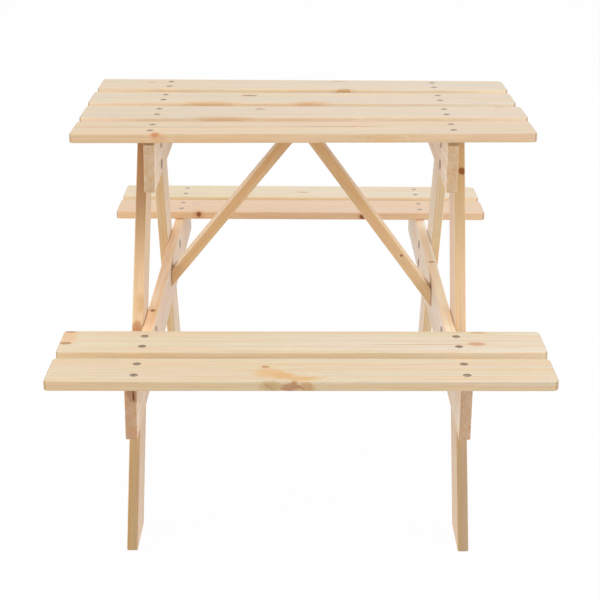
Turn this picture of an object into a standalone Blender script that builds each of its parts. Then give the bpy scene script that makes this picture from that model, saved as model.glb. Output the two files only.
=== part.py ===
"""A children's picnic table with two fixed benches, made of unfinished pine.

Two mirrored A-frames carry everything. Each has a top rail under the table boards, a long
seat rail that reaches out under both benches, and two splayed legs screwed to the outer
faces of the rails. Four boards make the table and two make each bench. A flat batten ties
the table boards together at mid-length, and two diagonal braces run up to it from the
seat rails, so the frames can't fold sideways.

X runs along the boards, Y across the table and Z up. The origin is on the ground, under
the middle of the table.
"""

import math

import bmesh
import bpy
from mathutils import Matrix, Vector

# Boards of the table and of both benches.
BOARD_LENGTH = 0.600
BOARD_WIDTH = 0.076
BOARD_THICKNESS = 0.0125
BOARD_CORNER_RADIUS = 0.006
BOARD_EDGE_RADIUS = 0.002

# Table top and benches.
TABLE_HEIGHT = 0.503
TABLE_BOARDS = 4
TABLE_BOARD_GAP = 0.0245
SEAT_HEIGHT = 0.269
BENCH_BOARDS = 2
BENCH_BOARD_GAP = 0.020
OVERALL_WIDTH = 0.911

# A-frames. The overhang is measured from a board's end to the middle of the rail under it.
BOARD_OVERHANG = 0.1035
RAIL_THICKNESS = 0.014
TOP_RAIL_DEPTH = 0.068
TOP_RAIL_SETBACK = 0.010
SEAT_RAIL_DEPTH = 0.064
SEAT_RAIL_SETBACK = 0.0065
LEG_THICKNESS = 0.014
LEG_WIDTH = 0.067
LEG_TOP_SPREAD = 0.1426
LEG_FOOT_SPREAD = 0.654
FRAME_EDGE_RADIUS = 0.0015

# Batten under the table boards. Its ends are chamfered, so that they stay out of sight.
BATTEN_THICKNESS = 0.014
BATTEN_WIDTH = 0.068
BATTEN_LENGTH = 0.290
BATTEN_END_CHAMFER = 0.020

# Diagonal braces: flat strips, laid with the broad face up. The two stand side by side,
# and each runs a little past the middle of the batten.
BRACE_THICKNESS = 0.014
BRACE_WIDTH = 0.030
BRACE_EDGE_RADIUS = 0.001
LEFT_BRACE_Y = 0.055
LEFT_BRACE_FOOT_RISE = 0.0296
LEFT_BRACE_HEAD_PAST_MIDDLE = 0.0171
RIGHT_BRACE_Y = -0.020
RIGHT_BRACE_FOOT_RISE = 0.0239
RIGHT_BRACE_HEAD_PAST_MIDDLE = 0.0046

# Countersunk screws, four to a board, driven down into the rails.
SCREW_HEAD_RADIUS = 0.0042
SCREW_HEAD_SINK = 0.0003
SCREW_SHANK_RADIUS = 0.0018
SCREW_POINT_LENGTH = 0.004
SCREW_SPACING = 0.036
SCREW_BITE = 0.0195

# Flat-headed joint screws, driven from a rail's inner face into the leg behind it.
JOINT_HEAD_RADIUS = 0.0068
JOINT_HEAD_HEIGHT = 0.0012
JOINT_HEAD_CHAMFER = 0.0005
JOINT_SHANK_RADIUS = 0.0024
JOINT_SCREW_COVER = 0.003
TOP_JOINT_RISE = 0.045
SEAT_JOINT_RISE = 0.047

# Facets of rounded corners, eased edges and turned pieces.
CORNER_STEPS = 4
EDGE_STEPS = 2
TURNED_SIDES = 12

# Clearance between pieces that touch, and how far a cutter reaches past a face.
FIT = 0.0003
CUTTER_OVERRUN = 0.002

# Heights and faces that several pieces share.
TABLE_UNDERSIDE = TABLE_HEIGHT - BOARD_THICKNESS
SEAT_UNDERSIDE = SEAT_HEIGHT - BOARD_THICKNESS
TOP_RAIL_TOP = TABLE_UNDERSIDE - FIT
TOP_RAIL_BOTTOM = TOP_RAIL_TOP - TOP_RAIL_DEPTH
SEAT_RAIL_TOP = SEAT_UNDERSIDE - FIT
SEAT_RAIL_BOTTOM = SEAT_RAIL_TOP - SEAT_RAIL_DEPTH
BATTEN_BOTTOM = TABLE_UNDERSIDE - FIT - BATTEN_THICKNESS
FRAME_X = BOARD_LENGTH / 2 - BOARD_OVERHANG
RAIL_INNER_X = FRAME_X - RAIL_THICKNESS / 2
LEG_X = FRAME_X + RAIL_THICKNESS / 2 + FIT + LEG_THICKNESS / 2
LEG_SLOPE = (LEG_FOOT_SPREAD - LEG_TOP_SPREAD) / 2 / TOP_RAIL_TOP
LEG_HALF_SPAN = LEG_WIDTH / 2 * math.sqrt(1 + LEG_SLOPE ** 2)
TABLE_WIDTH = TABLE_BOARDS * BOARD_WIDTH + (TABLE_BOARDS - 1) * TABLE_BOARD_GAP

SIDES = (("left", -1), ("right", 1))
ENDS = (("front", -1), ("rear", 1))

ALONG_X, ALONG_Y, UP = (1, 0, 0), (0, 1, 0), (0, 0, 1)

# Finishes: a kind of material, its colour, roughness and metallic value.
BOARD_PINE = ("board_pine", (0.80, 0.62, 0.42), 0.62, 0.0)
FRAME_PINE = ("frame_pine", (0.74, 0.54, 0.34), 0.66, 0.0)
ZINC_STEEL = ("zinc_steel", (0.42, 0.40, 0.38), 0.38, 1.0)


def clear_scene():
    for old in list(bpy.data.objects):
        bpy.data.objects.remove(old, do_unlink=True)


def material_for(node, finish):
    kind, colour, roughness, metallic = finish
    material = bpy.data.materials.new(node + "_" + kind)
    material.use_nodes = True
    shader = material.node_tree.nodes["Principled BSDF"]
    shader.inputs["Base Color"].default_value = (*colour, 1.0)
    shader.inputs["Roughness"].default_value = roughness
    shader.inputs["Metallic"].default_value = metallic
    return material


def add_object(name, fill, finish=None):
    """Link a new object whose mesh is filled by fill(bm)."""
    mesh = bpy.data.meshes.new(name)
    bm = bmesh.new()
    fill(bm)
    bmesh.ops.recalc_face_normals(bm, faces=bm.faces)
    bm.to_mesh(mesh)
    bm.free()
    if finish:
        mesh.materials.append(material_for(name, finish))
    new = bpy.data.objects.new(name, mesh)
    bpy.context.scene.collection.objects.link(new)
    return new


def add_timber(name, outline, axes, depth, place, edge_radius, finish=FRAME_PINE):
    """A piece sawn to an outline of (u, v) pairs, its thickness centred on its place."""
    u, v = Vector(axes[0]), Vector(axes[1])
    across = u.cross(v)

    def fill(bm):
        near = [bm.verts.new(u * a + v * b - across * (depth / 2)) for a, b in outline]
        made = bmesh.ops.extrude_face_region(bm, geom=[bm.faces.new(near)])
        far = [item for item in made["geom"] if isinstance(item, bmesh.types.BMVert)]
        bmesh.ops.translate(bm, vec=across * depth, verts=far)

    timber = add_object(name, fill, finish)
    timber.location = place
    eased = timber.modifiers.new("eased_edges", "BEVEL")
    eased.width = edge_radius
    eased.segments = EDGE_STEPS
    eased.limit_method = "ANGLE"
    eased.angle_limit = math.radians(30)
    return timber


def cut(piece, guides):
    for guide in guides:
        holes = piece.modifiers.new(guide.name, "BOOLEAN")
        holes.operation = "DIFFERENCE"
        holes.solver = "EXACT"
        holes.object = guide


def rectangle(length, width):
    half_length, half_width = length / 2, width / 2
    return [(-half_length, -half_width), (half_length, -half_width),
            (half_length, half_width), (-half_length, half_width)]


def rounded_rectangle(length, width, radius):
    """A centred rectangle with an arc at each corner, anticlockwise."""
    points = []
    for side_u, side_v, start in ((1, 1, 0), (-1, 1, 90), (-1, -1, 180), (1, -1, 270)):
        middle_u = side_u * (length / 2 - radius)
        middle_v = side_v * (width / 2 - radius)
        for step in range(CORNER_STEPS + 1):
            angle = math.radians(start + 90 * step / CORNER_STEPS)
            point = (middle_u + radius * math.cos(angle), middle_v + radius * math.sin(angle))
            points.append(point)
    return points


def spin_profile(bm, profile, place):
    """Turn a profile of (radius, height) pairs about Z, from pole to pole, and place it."""
    rings = []
    for radius, height in profile:
        sides = TURNED_SIDES if radius else 1
        angles = [2 * math.pi * side / sides for side in range(sides)]
        points = [Vector((radius * math.cos(a), radius * math.sin(a), height)) for a in angles]
        rings.append([bm.verts.new(place @ point) for point in points])
    for upper, lower in zip(rings, rings[1:]):
        for side in range(TURNED_SIDES):
            after = (side + 1) % TURNED_SIDES
            if len(upper) == 1:
                bm.faces.new((upper[0], lower[side], lower[after]))
            elif len(lower) == 1:
                bm.faces.new((upper[side], lower[0], upper[after]))
            else:
                bm.faces.new((upper[side], lower[side], lower[after], upper[after]))


def pointed_shank(radius, length):
    return [(radius, SCREW_POINT_LENGTH - length), (0, -length)]


def countersunk_screw(length):
    shoulder = SCREW_SHANK_RADIUS - SCREW_HEAD_RADIUS
    head = [(0, 0), (SCREW_HEAD_RADIUS, 0), (SCREW_SHANK_RADIUS, shoulder)]
    return head + pointed_shank(SCREW_SHANK_RADIUS, length)


def countersunk_hole(length):
    """The screw's shape with the clearance all round, open past the board's face."""
    mouth = SCREW_HEAD_RADIUS + FIT * math.sqrt(2)
    bore = SCREW_SHANK_RADIUS + FIT
    end = -length - FIT
    return [(0, CUTTER_OVERRUN), (mouth, CUTTER_OVERRUN), (mouth, 0), (bore, bore - mouth),
            (bore, end), (0, end)]


def joint_screw(length):
    """A flat head with a chamfered rim, and a shank of a length that starts at the rail's face."""
    rim = JOINT_HEAD_RADIUS - JOINT_HEAD_CHAMFER
    crown = FIT + JOINT_HEAD_HEIGHT
    head = [(0, crown), (rim, crown), (JOINT_HEAD_RADIUS, crown - JOINT_HEAD_CHAMFER),
            (JOINT_HEAD_RADIUS, FIT), (JOINT_SHANK_RADIUS, FIT)]
    return head + pointed_shank(JOINT_SHANK_RADIUS, length)


def joint_hole(length):
    bore = JOINT_SHANK_RADIUS + FIT
    end = -length - FIT
    return [(0, CUTTER_OVERRUN), (bore, CUTTER_OVERRUN), (bore, end), (0, end)]


def driven(direction, head):
    """A place for a screw driven along a direction, with its head's face at a point."""
    turn = Vector((0, 0, -1)).rotation_difference(Vector(direction))
    return Matrix.Translation(head) @ turn.to_matrix().to_4x4()


def add_screws(names, places, profile, hole):
    """A screw at each place, all of one mesh, and the guide that cuts their holes."""
    def fill_screw(bm):
        spin_profile(bm, profile, Matrix())

    def fill_guide(bm):
        for place in places:
            spin_profile(bm, hole, place)

    first = add_object(names[0], fill_screw, ZINC_STEEL)
    first.data.shade_smooth()
    first.data.set_sharp_from_angle(angle=math.radians(30))
    copies = [bpy.data.objects.new(name, first.data) for name in names[1:]]
    for copy in copies:
        bpy.context.scene.collection.objects.link(copy)
    for screw, place in zip([first] + copies, places):
        screw.matrix_world = place

    guide = add_object(names[0] + "_guide", fill_guide)
    guide.hide_render = True
    guide.display_type = "WIRE"
    return guide


def board_row(count, gap):
    """Middles of a row of boards, centred on zero."""
    return [(index - (count - 1) / 2) * (BOARD_WIDTH + gap) for index in range(count)]


def bench_row(end):
    """Middles of one bench's boards, in the same order as the table's."""
    width = BENCH_BOARDS * BOARD_WIDTH + (BENCH_BOARDS - 1) * BENCH_BOARD_GAP
    middle = end * (OVERALL_WIDTH - width) / 2
    return [middle + offset for offset in board_row(BENCH_BOARDS, BENCH_BOARD_GAP)]


def make_boards(word, middles, top_z):
    """A row of boards with their screws. Returns the guide that cuts the rails below them."""
    places = []
    for _, side in SIDES:
        for middle in middles:
            for offset in (-SCREW_SPACING / 2, SCREW_SPACING / 2):
                head = (side * FRAME_X, middle + offset, top_z - SCREW_HEAD_SINK)
                places.append(driven((0, 0, -1), head))
    names = ["%s_screw_%d" % (word, number) for number in range(1, len(places) + 1)]
    length = BOARD_THICKNESS + SCREW_BITE
    guide = add_screws(names, places, countersunk_screw(length), countersunk_hole(length))

    outline = rounded_rectangle(BOARD_LENGTH, BOARD_WIDTH, BOARD_CORNER_RADIUS)
    for number, middle in enumerate(middles, 1):
        place = (0, middle, top_z - BOARD_THICKNESS / 2)
        board = add_timber("%s_board_%d" % (word, number), outline, (ALONG_X, ALONG_Y),
                           BOARD_THICKNESS, place, BOARD_EDGE_RADIUS, BOARD_PINE)
        cut(board, [guide])
    return guide


def leg_middle_y(height):
    """Distance of a leg's middle line from the table's middle, at a height."""
    return LEG_TOP_SPREAD / 2 + LEG_SLOPE * (TOP_RAIL_TOP - height)


def make_rail(name, side, length, depth, bottom_z, guides):
    place = (side * FRAME_X, 0, bottom_z + depth / 2)
    rail = add_timber(name, rectangle(length, depth), (ALONG_Y, UP), RAIL_THICKNESS, place,
                      FRAME_EDGE_RADIUS)
    cut(rail, guides)


def make_leg(name, side, end, guides):
    """A leg cut level at the foot and under the table board."""
    foot, head = end * leg_middle_y(0), end * leg_middle_y(TOP_RAIL_TOP)
    outline = [(foot - LEG_HALF_SPAN, 0), (foot + LEG_HALF_SPAN, 0),
               (head + LEG_HALF_SPAN, TOP_RAIL_TOP), (head - LEG_HALF_SPAN, TOP_RAIL_TOP)]
    leg = add_timber(name, outline, (ALONG_Y, UP), LEG_THICKNESS, (side * LEG_X, 0, 0),
                     FRAME_EDGE_RADIUS)
    cut(leg, guides)


def make_frame(word, side, table_guide, bench_guides):
    """One A-frame: its joint screws, two rails and two legs."""
    names, places = [], []
    levels = (("top", TOP_RAIL_BOTTOM + TOP_JOINT_RISE), ("seat", SEAT_RAIL_BOTTOM + SEAT_JOINT_RISE))
    for level, height in levels:
        for end_word, end in ENDS:
            names.append("%s_%s_%s_joint_screw" % (word, level, end_word))
            head = (side * RAIL_INNER_X, end * leg_middle_y(height), height)
            places.append(driven((side, 0, 0), head))
    length = RAIL_THICKNESS + LEG_THICKNESS - JOINT_SCREW_COVER
    joint_guide = add_screws(names, places, joint_screw(length), joint_hole(length))

    make_rail(word + "_top_rail", side, TABLE_WIDTH - 2 * TOP_RAIL_SETBACK, TOP_RAIL_DEPTH,
              TOP_RAIL_BOTTOM, [table_guide, joint_guide])
    make_rail(word + "_seat_rail", side, OVERALL_WIDTH - 2 * SEAT_RAIL_SETBACK, SEAT_RAIL_DEPTH,
              SEAT_RAIL_BOTTOM, bench_guides + [joint_guide])
    for end_word, end in ENDS:
        make_leg("%s_%s_leg" % (word, end_word), side, end, [joint_guide])


def make_batten():
    """A flat strip across the table boards, shorter below than above."""
    upper = BATTEN_LENGTH / 2
    lower = upper - BATTEN_END_CHAMFER
    outline = [(-lower, 0), (lower, 0), (upper, BATTEN_THICKNESS), (-upper, BATTEN_THICKNESS)]
    add_timber("centre_batten", outline, (ALONG_Y, UP), BATTEN_WIDTH, (0, 0, BATTEN_BOTTOM),
               FRAME_EDGE_RADIUS)


def make_brace(name, side, middle_y, foot_rise, past_middle):
    """A brace mitred upright at its foot, on the seat rail, and level at its head, on the batten.

    The lower edge runs from the foot to a point past the middle of the batten.
    """
    foot_x, foot_z = side * (RAIL_INNER_X - FIT), SEAT_RAIL_BOTTOM + foot_rise
    head_x, head_z = -side * past_middle, BATTEN_BOTTOM - FIT
    slope = (head_z - foot_z) / abs(head_x - foot_x)
    foot_cut = BRACE_THICKNESS * math.sqrt(1 + slope ** 2)
    head_cut = foot_cut / slope
    outline = [(foot_x, foot_z), (head_x, head_z), (head_x + side * head_cut, head_z),
               (foot_x, foot_z + foot_cut)]
    add_timber(name, outline, (ALONG_X, UP), BRACE_WIDTH, (0, middle_y, 0), BRACE_EDGE_RADIUS)


def build():
    clear_scene()
    table_guide = make_boards("table", board_row(TABLE_BOARDS, TABLE_BOARD_GAP), TABLE_HEIGHT)
    bench_guides = [make_boards(word + "_bench", bench_row(end), SEAT_HEIGHT) for word, end in ENDS]
    for word, side in SIDES:
        make_frame(word, side, table_guide, bench_guides)
    make_batten()
    make_brace("left_brace", -1, LEFT_BRACE_Y, LEFT_BRACE_FOOT_RISE, LEFT_BRACE_HEAD_PAST_MIDDLE)
    make_brace("right_brace", 1, RIGHT_BRACE_Y, RIGHT_BRACE_FOOT_RISE, RIGHT_BRACE_HEAD_PAST_MIDDLE)


build()
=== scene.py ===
"""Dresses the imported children's picnic table: pine planks, screws, camera, lights and floor.

Lengths are in metres in the part's own frame: X along the boards, Y from the front bench to
the rear one, Z up. Sizes inside the pine material are in millimetres.
"""

import math

import bmesh
import bpy
from mathutils import Matrix, Vector


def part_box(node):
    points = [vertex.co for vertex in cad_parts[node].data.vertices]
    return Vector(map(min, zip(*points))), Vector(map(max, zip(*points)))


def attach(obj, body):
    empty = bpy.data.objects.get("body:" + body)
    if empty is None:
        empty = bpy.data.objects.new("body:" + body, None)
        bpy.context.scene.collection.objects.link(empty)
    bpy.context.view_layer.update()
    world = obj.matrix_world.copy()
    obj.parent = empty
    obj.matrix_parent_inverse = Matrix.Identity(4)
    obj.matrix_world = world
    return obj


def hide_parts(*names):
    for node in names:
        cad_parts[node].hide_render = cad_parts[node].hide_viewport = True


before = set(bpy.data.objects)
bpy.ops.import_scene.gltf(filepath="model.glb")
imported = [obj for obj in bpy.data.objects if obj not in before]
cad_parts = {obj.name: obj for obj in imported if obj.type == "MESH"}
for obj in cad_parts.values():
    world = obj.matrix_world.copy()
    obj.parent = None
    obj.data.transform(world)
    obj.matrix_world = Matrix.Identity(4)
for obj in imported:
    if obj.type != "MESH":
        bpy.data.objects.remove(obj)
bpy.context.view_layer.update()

# Sizes, as in the solids but for the braces, which are as deep and thick as in the photograph

BOARD_LENGTH, BOARD_WIDTH, BOARD_THICKNESS = 0.600, 0.076, 0.0125
TABLE_TOP, SEAT_TOP = 0.503, 0.269
TABLE_ROWS = [-0.15075, -0.05025, 0.05025, 0.15075]
FRONT_ROWS, REAR_ROWS = [-0.4175, -0.3215], [0.3215, 0.4175]
FRAME_X, TIMBER = 0.1965, 0.014
RAIL_INNER_X = FRAME_X - TIMBER / 2
LEG_X = 0.2108
TOP_RAIL = dict(length=0.3575, depth=0.068, middle=0.4562)
SEAT_RAIL = dict(length=0.898, depth=0.064, middle=0.2242)
LEG_TOP, LEG_TOP_Y, LEG_FOOT_Y, LEG_WIDTH = 0.4902, 0.0713, 0.327, 0.067
LEG_SLOPE = (LEG_FOOT_Y - LEG_TOP_Y) / LEG_TOP
BATTEN = dict(length=0.290, width=0.068, bottom=0.4762, chamfer=0.020)
# Each brace's place in depth, the height of its foot, and how far past mid-length its head reaches.
BRACES = {"left": dict(side=-1, y=0.0565, foot=0.2206, past=0.0180),
          "right": dict(side=1, y=-0.0180, foot=0.2161, past=0.0046)}
BRACE_WIDTH, BRACE_THICKNESS = 0.034, 0.0150
# The gap at a brace's ends, and about how much it rises for each metre across.
FIT, BRACE_SLOPE = 0.0003, 1.28
# How round the planks' edges are.
BOARD_EDGE, TIMBER_EDGE, BRACE_EDGE = 0.0022, 0.0016, 0.0012
SCREW_SPACING, SCREW_SINK = 0.036, 0.0003
# The lengths of the screws and of their points.
BOARD_SCREW, SHORT_SCREW, JOINT_SCREW, SCREW_POINT = 0.032, 0.022, 0.025, 0.004
# The heights of the two screws in each joint of a rail and a leg.
JOINT_LEVELS = {"top": (0.4372, 0.4672), "seat": (0.2092, 0.2392)}
# The batten's screws stand this far to either side of its middle, and no farther than this from
# mid-depth. A brace's upper screw is this far from its head, and the lower one at this share of
# its foot's height.
BATTEN_SCREW_X, BATTEN_SCREW_Y, HEAD_SCREW, FOOT_SCREW = 0.022, 0.118, 0.020, 0.6
# A countersunk hole: the bore's radius and depth, and the cone's top and bottom, from the head's top.
BORE, BORE_DEPTH, CONE_TOP, CONE_BOTTOM = 0.0022, 0.036, 0.0004, -0.0024

# How far each board is moved along X, and how much longer it is than the rest.
SHIFTS = {"table": [(0.0024, 0.0), (0.0032, 0.0036), (0.0010, 0.0030), (0.0021, 0.0035)],
          "front_bench": [(0.0008, 0.0), (0.0015, 0.0018)], "rear_bench": [(0.0, 0.0), (0.0, 0.0)]}
# Each pair of screw lines: its distance from its middle, how far that is moved along X, how deep
# the heads sit, and the radius of their holes.
SCREW_LINES = {"table": (0.1960, 0.0007, 0.0006, 0.0045),
               "front_bench": (0.1954, 0.0, 0.0007, 0.0050),
               "rear_bench": (0.1951, 0.0, 0.0003, 0.0044)}
# How far the right ends of the seats and of the table top rise at mid-depth, and how much less
# they do for each metre further back. The left ends fall as much.
SEAT_TWIST, TOP_TWIST = (0.0002, 0.0019), (0.0006, 0.0060)
# How far the frames lean to the left, the height where that starts, the drop over which it grows,
# what share of it is left at the rear, and how far front and rear are from mid-depth.
LEAN, LEAN_START, LEAN_DROP, REAR_LEAN, HALF_DEPTH = 0.0026, 0.49, 0.27, 0.55, 0.45

SIDES, ENDS, ROOT = (("left", -1), ("right", 1)), (("front", -1), ("rear", 1)), "root"
MILLIMETRES = 1000.0
# Into how many lengths a plank is cut, so that it can be bent out of true, and the steps of a
# rounded corner.
CUTS, CORNER_STEPS = 14, 8


# Node helper

class Graph:
    """Short names for building the nodes of a material, or of the world."""

    def __init__(self, owner):
        owner.use_nodes = True
        self.owner, self.tree = owner, owner.node_tree
        self.shader = self.tree.nodes.get("Principled BSDF")

    def feed(self, socket, value):
        """Link an output to a socket, or set the socket to a value. A colour has three numbers."""
        if isinstance(value, bpy.types.NodeSocket):
            self.tree.links.new(value, socket)
        else:
            socket.default_value = (*value, 1.0) if socket.type == "RGBA" else value

    def add(self, kind, *values, **settings):
        """A new node, with values for its first inputs."""
        node = self.tree.nodes.new(kind)
        for key, value in settings.items():
            setattr(node, key, value)
        for socket, value in zip(node.inputs, values):
            self.feed(socket, value)
        return node

    def fill(self, node, values):
        """Feed a node's inputs by their names."""
        for word, value in values.items():
            self.feed(node.inputs[word], value)
        return node.outputs[0]

    def math(self, operation, *values):
        return self.add("ShaderNodeMath", *values, operation=operation).outputs[0]

    def plus(self, a, b):
        return self.math("ADD", a, b)

    def times(self, a, b):
        return self.math("MULTIPLY", a, b)

    def scaled(self, value, factor, offset=0.0):
        return self.math("MULTIPLY_ADD", value, factor, offset)

    def vector(self, operation, *values):
        node = self.add("ShaderNodeVectorMath", *values, operation=operation)
        return node.outputs["Value" if operation in ("LENGTH", "DOT_PRODUCT") else "Vector"]

    def join(self, x, y, z):
        return self.add("ShaderNodeCombineXYZ", x, y, z).outputs[0]

    def noise(self, point, stretch, seed, detail=2.0, roughness=0.5):
        """Noise of a point in millimetres, with a frequency per axis. About 0 to 1."""
        moved = self.vector("MULTIPLY_ADD", point, stretch, (seed * 7.31, seed * 3.77, seed * 5.13))
        node = self.add("ShaderNodeTexNoise")
        return self.fill(node, {"Vector": moved, "Scale": 1.0, "Detail": detail, "Roughness": roughness})

    def step(self, value, low, high):
        """0 below low, 1 above high, smooth between. Falls where low is above high."""
        ends = (low, high, 0.0, 1.0) if low <= high else (high, low, 1.0, 0.0)
        node = self.add("ShaderNodeMapRange", value, *ends, interpolation_type="SMOOTHSTEP")
        return node.outputs["Result"]

    def ramp(self, x, stops):
        """Colours at places along x, smoothly mixed between them."""
        value = stops[0][1]
        for (low, _), (high, colour) in zip(stops, stops[1:]):
            value = self.mix(self.step(x, low, high), value, colour)
        return value

    def mix(self, share, a, b, blend="MIX"):
        node = self.add("ShaderNodeMix", data_type="RGBA", blend_type=blend)
        self.feed(node.inputs[0], share)
        self.feed(node.inputs[6], a)
        self.feed(node.inputs[7], b)
        return node.outputs[2]

    def bump(self, height, strength, distance):
        """Let a height roughen the shader's surface."""
        node = self.add("ShaderNodeBump")
        normal = self.fill(node, {"Strength": strength, "Distance": distance, "Height": height})
        self.fill(self.shader, {"Normal": normal})

    def point(self):
        """The place on the object, in millimetres."""
        place = self.add("ShaderNodeTexCoord").outputs["Object"]
        node = self.add("ShaderNodeVectorMath", place, operation="SCALE")
        return self.fill(node, {"Scale": MILLIMETRES})

    def seen(self):
        """1 for the camera's rays and for those that a mirror or glass passes on, 0 for the rest."""
        rays = self.add("ShaderNodeLightPath").outputs
        passed = self.math("MAXIMUM", rays["Is Glossy Ray"], rays["Is Transmission Ray"])
        return self.math("MAXIMUM", rays["Is Camera Ray"], passed)

    def blend(self, share, a, b, output):
        """Mix two shaders into the output."""
        node = self.add("ShaderNodeMixShader", share, a, b)
        self.feed(output.inputs["Surface"], node.outputs[0])


def linear(*rgb):
    """A colour as seen on screen, 0 to 255, turned into shader values."""
    return tuple((v / 255 / 12.92) if v / 255 <= 0.04045 else ((v / 255 + 0.055) / 1.055) ** 2.4
                 for v in rgb)


# Pine

PINK, STRAW, PEACH = linear(240, 210, 190), linear(232, 216, 176), linear(238, 202, 158)
# Stains, as colours on screen.
HONEY, AMBER = (238, 196, 146), (226, 172, 110)
# Each noise field in the wood: waves per millimetre along and across the plank, what is added to
# the plank's seed, detail and roughness.
FIELDS = {
    "swing": (0.0034, 0.006, 0.0, 1.0, 0.5), "lift": (0.0030, 0.006, 3.3, 1.0, 0.5),
    "ripple": (0.010, 0.07, 5.1, 2.0, 0.5), "ragged": (0.09, 0.22, 9.7, 3.0, 0.6),
    "pink": (0.0026, 0.105, 11.0, 3.0, 0.6), "straw": (0.0026, 0.105, 17.0, 3.0, 0.6),
    "peach": (0.0026, 0.105, 19.0, 3.0, 0.6), "fibre": (0.020, 0.85, 23.0, 3.0, 0.6),
    "line": (0.006, 0.55, 27.0, 1.0, 0.5), "dash": (0.045, 1.5, 29.0, 1.0, 0.5),
    "speckle": (0.5, 0.9, 31.0, 3.0, 0.65),
}
YEARLY_SEED = 1.9
# How much of the colour is left in the latewood and on the end grain, and how much of a stain's
# colour on a narrow face.
LATEWOOD, END_GRAIN, NARROW_STAIN = (0.89, 0.77, 0.62), (0.66, 0.59, 0.52), (0.86, 0.80, 0.70)
WHITE = (1.0, 1.0, 1.0)
# How far a knot bends the grain, times its size, and how much of its colour is left in its rim.
KNOT_REACH, RIM = 3.4, 0.55


def spot(at, size, tone=None, halo=HONEY, strength=0.9, glow=0.45, reach=2.4, push=5.0, soft=0.3,
         wild=0.9, heart=1.0):
    """A knot, or a stained patch if it has no tone, at a point of the part.

    size is its radii along, across and through the plank in millimetres. glow is the strength
    of the stain round it, out to reach times its size, and push bends the grain round it. wild is
    how ragged its outline is, and heart how dark its middle and its rim are.
    """
    return dict(at=at, size=size, tone=tone and linear(*tone), halo=linear(*halo), heart=heart,
                strength=strength, glow=glow, reach=reach, push=push, soft=soft, wild=wild)


def streak(start, end, y, slope=0.0, width=1.2, tone=(188, 130, 84), strength=0.6, rise=0.0,
           fade=18.0):
    """A thin dark line along the grain, in the plank's own millimetres.

    slope is its slant across the plank and rise its slant through it.
    """
    return dict(start=start, end=end, y=y, slope=slope, width=width, tone=linear(*tone),
                strength=strength, rise=rise, fade=fade)


def off_centre(g, noise, swing):
    """Noise as a length of up to half the swing, either way."""
    return g.scaled(noise, swing, -0.5 * swing)


def ring_pattern(g, radius, spacing, seed):
    """How dark the year's ring is at a distance from the pith. Some years are darker than others."""
    year = g.math("FRACT", g.math("DIVIDE", radius, spacing))
    latewood = g.times(g.step(year, 0.25, 0.88), g.step(year, 1.0, 0.92))
    yearly = g.noise(g.join(radius, 0.0, 0.0), (0.21, 1.0, 1.0), seed + YEARLY_SEED, 1.0)
    return g.times(latewood, g.scaled(g.step(yearly, 0.30, 0.68), 0.75, 0.25))


def stained(g, colour, item, distance, narrow, fibre):
    """The colour with the stain round a knot, or of a patch, laid over it in faint curls."""
    halo = g.times(g.step(distance, item["reach"], 0.5), item["glow"])
    curls = g.math("SINE", g.plus(g.scaled(distance, 16.0), g.scaled(fibre, 5.0)))
    halo = g.times(halo, g.scaled(curls, 0.16, 0.92))
    stain = g.mix(1.0, item["halo"], g.mix(narrow, WHITE, NARROW_STAIN), "MULTIPLY")
    return g.mix(halo, colour, stain)


def knotted(g, colour, item, distance):
    """The colour with a knot's rings, dark middle and rim laid over it, and the knot's mask."""
    rim = tuple(v * RIM for v in item["tone"])
    rings = g.math("SINE", g.scaled(distance, 14.0))
    inside = g.mix(g.scaled(rings, 0.20, 0.20), item["tone"], rim)
    inside = g.mix(g.times(g.step(distance, 0.30, 0.10), item["heart"]), inside, rim)
    mask = g.times(g.step(distance, 1 + item["soft"], 1 - item["soft"]), item["strength"])
    colour = g.mix(mask, colour, inside)
    ring = g.times(g.step(distance, 0.62, 0.95), g.step(distance, 1.28, 1.0))
    return g.mix(g.times(ring, 0.45 * item["strength"] * item["heart"]), colour, rim), mask


def streaked(g, colour, item, x, y, z, ripple):
    """The colour with one dark line along the grain laid over it."""
    line = g.plus(g.scaled(x, -item["slope"], -item["y"]), g.plus(y, g.times(z, item["rise"])))
    line = g.math("ABSOLUTE", g.plus(line, off_centre(g, ripple, 2.4)))
    mask = g.step(line, item["width"], item["width"] * 0.3)
    fade = item["fade"]
    mask = g.times(mask, g.step(x, item["start"] - fade, item["start"] + fade))
    mask = g.times(mask, g.step(x, item["end"] + fade, item["end"] - fade))
    return g.mix(g.times(mask, item["strength"]), colour, item["tone"])


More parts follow.
